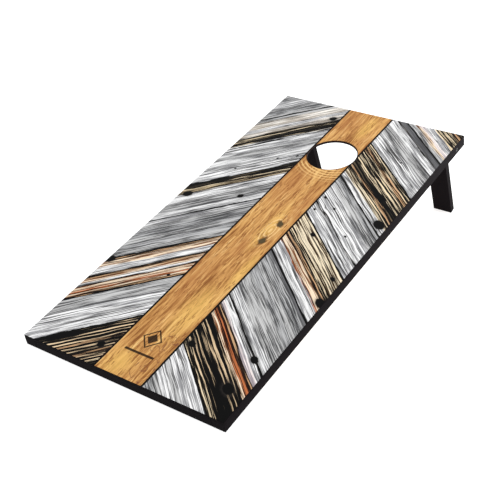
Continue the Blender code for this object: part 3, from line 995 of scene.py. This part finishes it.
def leg_direction(name):
    """From the leg's pivot towards its foot."""
    joint = next(j for j in frame["joints"] if j["child"] == name)
    pivot = Vector(joint["pos_m"])
    low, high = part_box(name)
    foot = Vector((pivot.x, (low.y + high.y) / 2, low.z))
    across = [v.co for v in frame["nodes"][name].data.vertices if v.co.z < low.z + 0.008]
    foot.y = sum(v.y for v in across) / len(across)
    return (foot - pivot).normalized()


def repaint(name, material):
    node = frame["nodes"][name]
    for slot in node.material_slots:
        slot.material = material


def steel_fasteners():
    steel = metal("fastener_steel", (0.52, 0.52, 0.53), (0.72, 0.72, 0.73), 0.34)
    for name in frame["nodes"]:
        if name.startswith(("frame_screw", "deck_brad")):
            repaint(name, steel)
    return steel


def thread_rings(start, end, outer, inner, pitch, material):
    """Rings that rise and fall along a bolt's end, four to each turn of its thread."""
    rings = []
    middle = (inner + outer) / 2
    count = round((end - start) / pitch * 4)
    for step in range(count + 1):
        radius = (inner, middle, outer, middle)[step % 4]
        rings.append(ring(radius, start + (end - start) * step / count, material))
    return rings


def pivot_matrix(side_name, side):
    """Axes at a bolt's outer face: X points in, towards the middle of the board."""
    joint = next(j for j in frame["joints"] if j["child"] == side_name + "_leg")
    low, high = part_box(side_name + "_pivot_bolt")
    outer = high.x if side > 0 else low.x
    origin = Vector((outer, joint["pos_m"][1], joint["pos_m"][2]))
    turned = Matrix.Rotation(math.pi, 4, "Z") if side > 0 else Matrix.Identity(4)
    return Matrix.Translation(origin) @ turned


def reach_in(node, axes):
    """Where a CAD node starts and ends along a bolt, from the bolt's outer face."""
    low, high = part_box(node)
    ends = [(axes.inverted() @ Vector((x, 0, 0))).x for x in (low.x, high.x)]
    return min(ends), max(ends)


def make_bolt(side_name, side, black):
    axes = pivot_matrix(side_name, side)
    low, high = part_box(side_name + "_pivot_bolt")
    length = high.x - low.x
    head = (high.z - low.z) / 2
    shank = SHANK_RADIUS
    socket = SOCKET_RADIUS
    rings = [
        (("hexagon", socket, 1.0), 0.0020, 0),
        (("hexagon", socket, 1.0), 0.0003, 0),
        ring(socket * 1.28, 0.0),
        ring(head - 0.0003, 0.0),
        ring(head, 0.0003),
        ring(shank, 0.0033),
        ring(shank, length - 0.0165),
    ]
    rings += thread_rings(length - 0.0160, length - 0.0008, shank, shank * 0.86, 0.0010, 0)
    rings.append(ring(shank * 0.75, length))
    shape, loops = lathed(rings)
    mesh = closed(side_name + "_bolt", shape, loops, False)
    smooth(mesh, 40)
    piece = as_object(side_name + "_bolt", mesh, [black], axes)
    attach(piece, body_with(side_name + "_pivot_bolt"))
    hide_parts(side_name + "_pivot_bolt")


def body_with(node):
    """The body that a CAD node rides on."""
    return frame["nodes"][node]["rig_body"]


def make_washer(side_name, side, node, material):
    axes = pivot_matrix(side_name, side)
    start, end = reach_in(node, axes)
    low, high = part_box(node)
    outer = (high.z - low.z) / 2
    inner = BORE_RADIUS
    edge = (end - start) * 0.28
    rings = [
        ring(inner, start + edge),
        ring(inner + edge, start),
        ring(outer - edge, start),
        ring(outer, start + edge),
        ring(outer, end - edge),
        ring(outer - edge, end),
        ring(inner + edge, end),
        ring(inner, end - edge),
    ]
    shape, loops = lathed(rings)
    mesh = closed(node.replace("_washer", "_ring"), shape, loops, True)
    smooth(mesh, 50)
    piece = as_object(node.replace("_washer", "_ring"), mesh, [material], axes)
    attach(piece, body_with(node))
    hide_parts(node)


def make_nut(side_name, side, steel, nylon):
    """A lock nut: a hexagon with turned corners, a collar, and its plastic ring."""
    node = side_name + "_lock_nut"
    axes = pivot_matrix(side_name, side)
    start, end = reach_in(node, axes)
    low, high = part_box(node)
    flats = min(high.z - low.z, high.y - low.y) / 2
    corner = flats / math.cos(math.pi / 6)
    body_end = start + (end - start) * 0.66
    rings = [
        ring(BORE_RADIUS, start + 0.0004),
        ring(0.0037, start),
        (("hexagon", flats, flats), start, 0),
        (("hexagon", flats, corner), start + 0.0006, 0),
        (("hexagon", flats, corner), body_end - 0.0005, 0),
        (("hexagon", flats, flats * 0.99), body_end, 0),
        ring(flats * 0.90, body_end),
        ring(flats * 0.90, end - 0.0006),
        ring(flats * 0.78, end),
        ring(flats * 0.74, end - 0.0004, 1),
        ring(0.0034, end - 0.0004, 1),
        ring(BORE_RADIUS, start + 0.0014),
    ]
    shape, loops = lathed(rings)
    mesh = closed(side_name + "_nut", shape, loops, True)
    smooth(mesh, 30)
    piece = as_object(side_name + "_nut", mesh, [steel, nylon], axes)
    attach(piece, body_with(node))
    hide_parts(node)


def make_hardware(steel):
    black = metal("bolt_black", (0.10, 0.10, 0.10), (0.18, 0.18, 0.18), 0.42)
    nylon = plastic("spacer_nylon", (0.80, 0.79, 0.75))
    collar = plastic("nut_collar", (0.22, 0.36, 0.62))
    for side_name, side in (("left", -1), ("right", 1)):
        make_bolt(side_name, side, black)
        make_washer(side_name, side, side_name + "_spacer_washer", nylon)
        make_washer(side_name, side, side_name + "_nut_washer", steel)
        make_nut(side_name, side, steel, collar)


# ---- the studio


def make_floor():
    nodes = Nodes("studio_floor")
    x, y, _ = nodes.place()
    cloud = nodes.speckle((x, y), (1.5, 1.5), 2)
    colour = nodes.mix(cloud, linear((0.76, 0.76, 0.76)), linear((0.79, 0.79, 0.79)))
    material = nodes.finish(colour, 0.9, specular=0.0)
    shader = next(n for n in material.node_tree.nodes if n.type == "BSDF_PRINCIPLED")
    shader.inputs["Emission Color"].default_value = (1, 1, 1, 1)
    shader.inputs["Emission Strength"].default_value = FLOOR_GLOW
    shape = bmesh.new()
    bmesh.ops.create_grid(shape, x_segments=2, y_segments=2, size=12)
    mesh = bpy.data.meshes.new("floor")
    shape.to_mesh(mesh)
    shape.free()
    low = min(CAD_BOX[0][2], CAD_BOX[1][2])
    floor = as_object("floor", mesh, [material], Matrix.Translation((0, 0, low)))


def make_world():
    """White all round for the camera. Its light is strongest from above and weakest along the floor."""
    world = bpy.data.worlds.new("studio")
    bpy.context.scene.world = world
    world.use_nodes = True
    tree = world.node_tree
    tree.nodes.clear()
    link = tree.links.new
    source = tree.nodes.new("ShaderNodeTexCoord")
    split = tree.nodes.new("ShaderNodeSeparateXYZ")
    rise = tree.nodes.new("ShaderNodeMapRange")
    path = tree.nodes.new("ShaderNodeLightPath")
    seen = tree.nodes.new("ShaderNodeMath")
    background = tree.nodes.new("ShaderNodeBackground")
    output = tree.nodes.new("ShaderNodeOutputWorld")
    link(source.outputs["Generated"], split.inputs[0])
    link(split.outputs[2], rise.inputs[0])
    for socket, value in zip(rise.inputs[1:5], (0.0, 0.9, 0.18, 1.05)):
        socket.default_value = value
    seen.operation = "MAXIMUM"
    link(rise.outputs[0], seen.inputs[0])
    link(path.outputs["Is Camera Ray"], seen.inputs[1])
    link(seen.outputs[0], background.inputs["Strength"])
    background.inputs["Color"].default_value = (1, 1, 1, 1)
    link(background.outputs[0], output.inputs[0])


def make_lights():
    """A wide soft key from above and the right, and a softbox that grazes the right side."""
    key = bpy.data.lights.new("key", "SUN")
    key.energy = 1.0
    key.angle = math.radians(70)
    lit_from(key, Vector((0.75, 0.35, 1.0)), Vector((0, 0, 0)))
    side = bpy.data.lights.new("side_softbox", "AREA")
    side.shape = "RECTANGLE"
    side.size = 1.4
    side.size_y = 0.8
    side.energy = 27
    lit_from(side, Vector((1.3, 1.25, 0.5)), Vector((0.3, 0.35, 0.15))).visible_camera = False


def lit_from(light, place, target):
    """Puts a light at a place, facing a point."""
    holder = linked(light.name, light)
    holder.location = place
    holder.rotation_euler = (place - target).to_track_quat("Z", "Y").to_euler()
    return holder


def make_camera():
    camera = linked("camera", bpy.data.cameras.new("camera"))
    camera.data.lens = CAMERA_LENS
    camera.data.sensor_width = 36
    camera.data.clip_end = 100
    middle = (Vector(CAD_BOX[0]) + Vector(CAD_BOX[1])) / 2
    flat = math.cos(CAMERA_ELEVATION)
    outward = Vector((
        math.sin(CAMERA_AZIMUTH) * flat,
        -math.cos(CAMERA_AZIMUTH) * flat,
        math.sin(CAMERA_ELEVATION),
    ))
    facing = Euler((math.pi / 2 - CAMERA_ELEVATION, 0, CAMERA_AZIMUTH)).to_matrix().to_4x4()
    rolled = Matrix.Rotation(CAMERA_ROLL, 4, "Z")
    placed = Matrix.Translation(middle + CAMERA_AIM + outward * CAMERA_DISTANCE)
    camera.matrix_world = placed @ facing @ rolled
    bpy.context.scene.camera = camera


def main():
    bpy.context.scene.view_settings.view_transform = "Standard"
    make_camera()
    make_floor()
    make_world()
    make_lights()
    make_panel()
    edge = painted_wood("print_edge_paint", BACKWARD, RIGHT, 45)
    make_stripe(edge)
    make_planks("left", -1, LEFT_PLANKS, LEFT_SPOTS, edge)
    make_planks("right", 1, RIGHT_PLANKS, RIGHT_SPOTS, edge)
    paint_frame()
    make_hardware(steel_fasteners())


main()
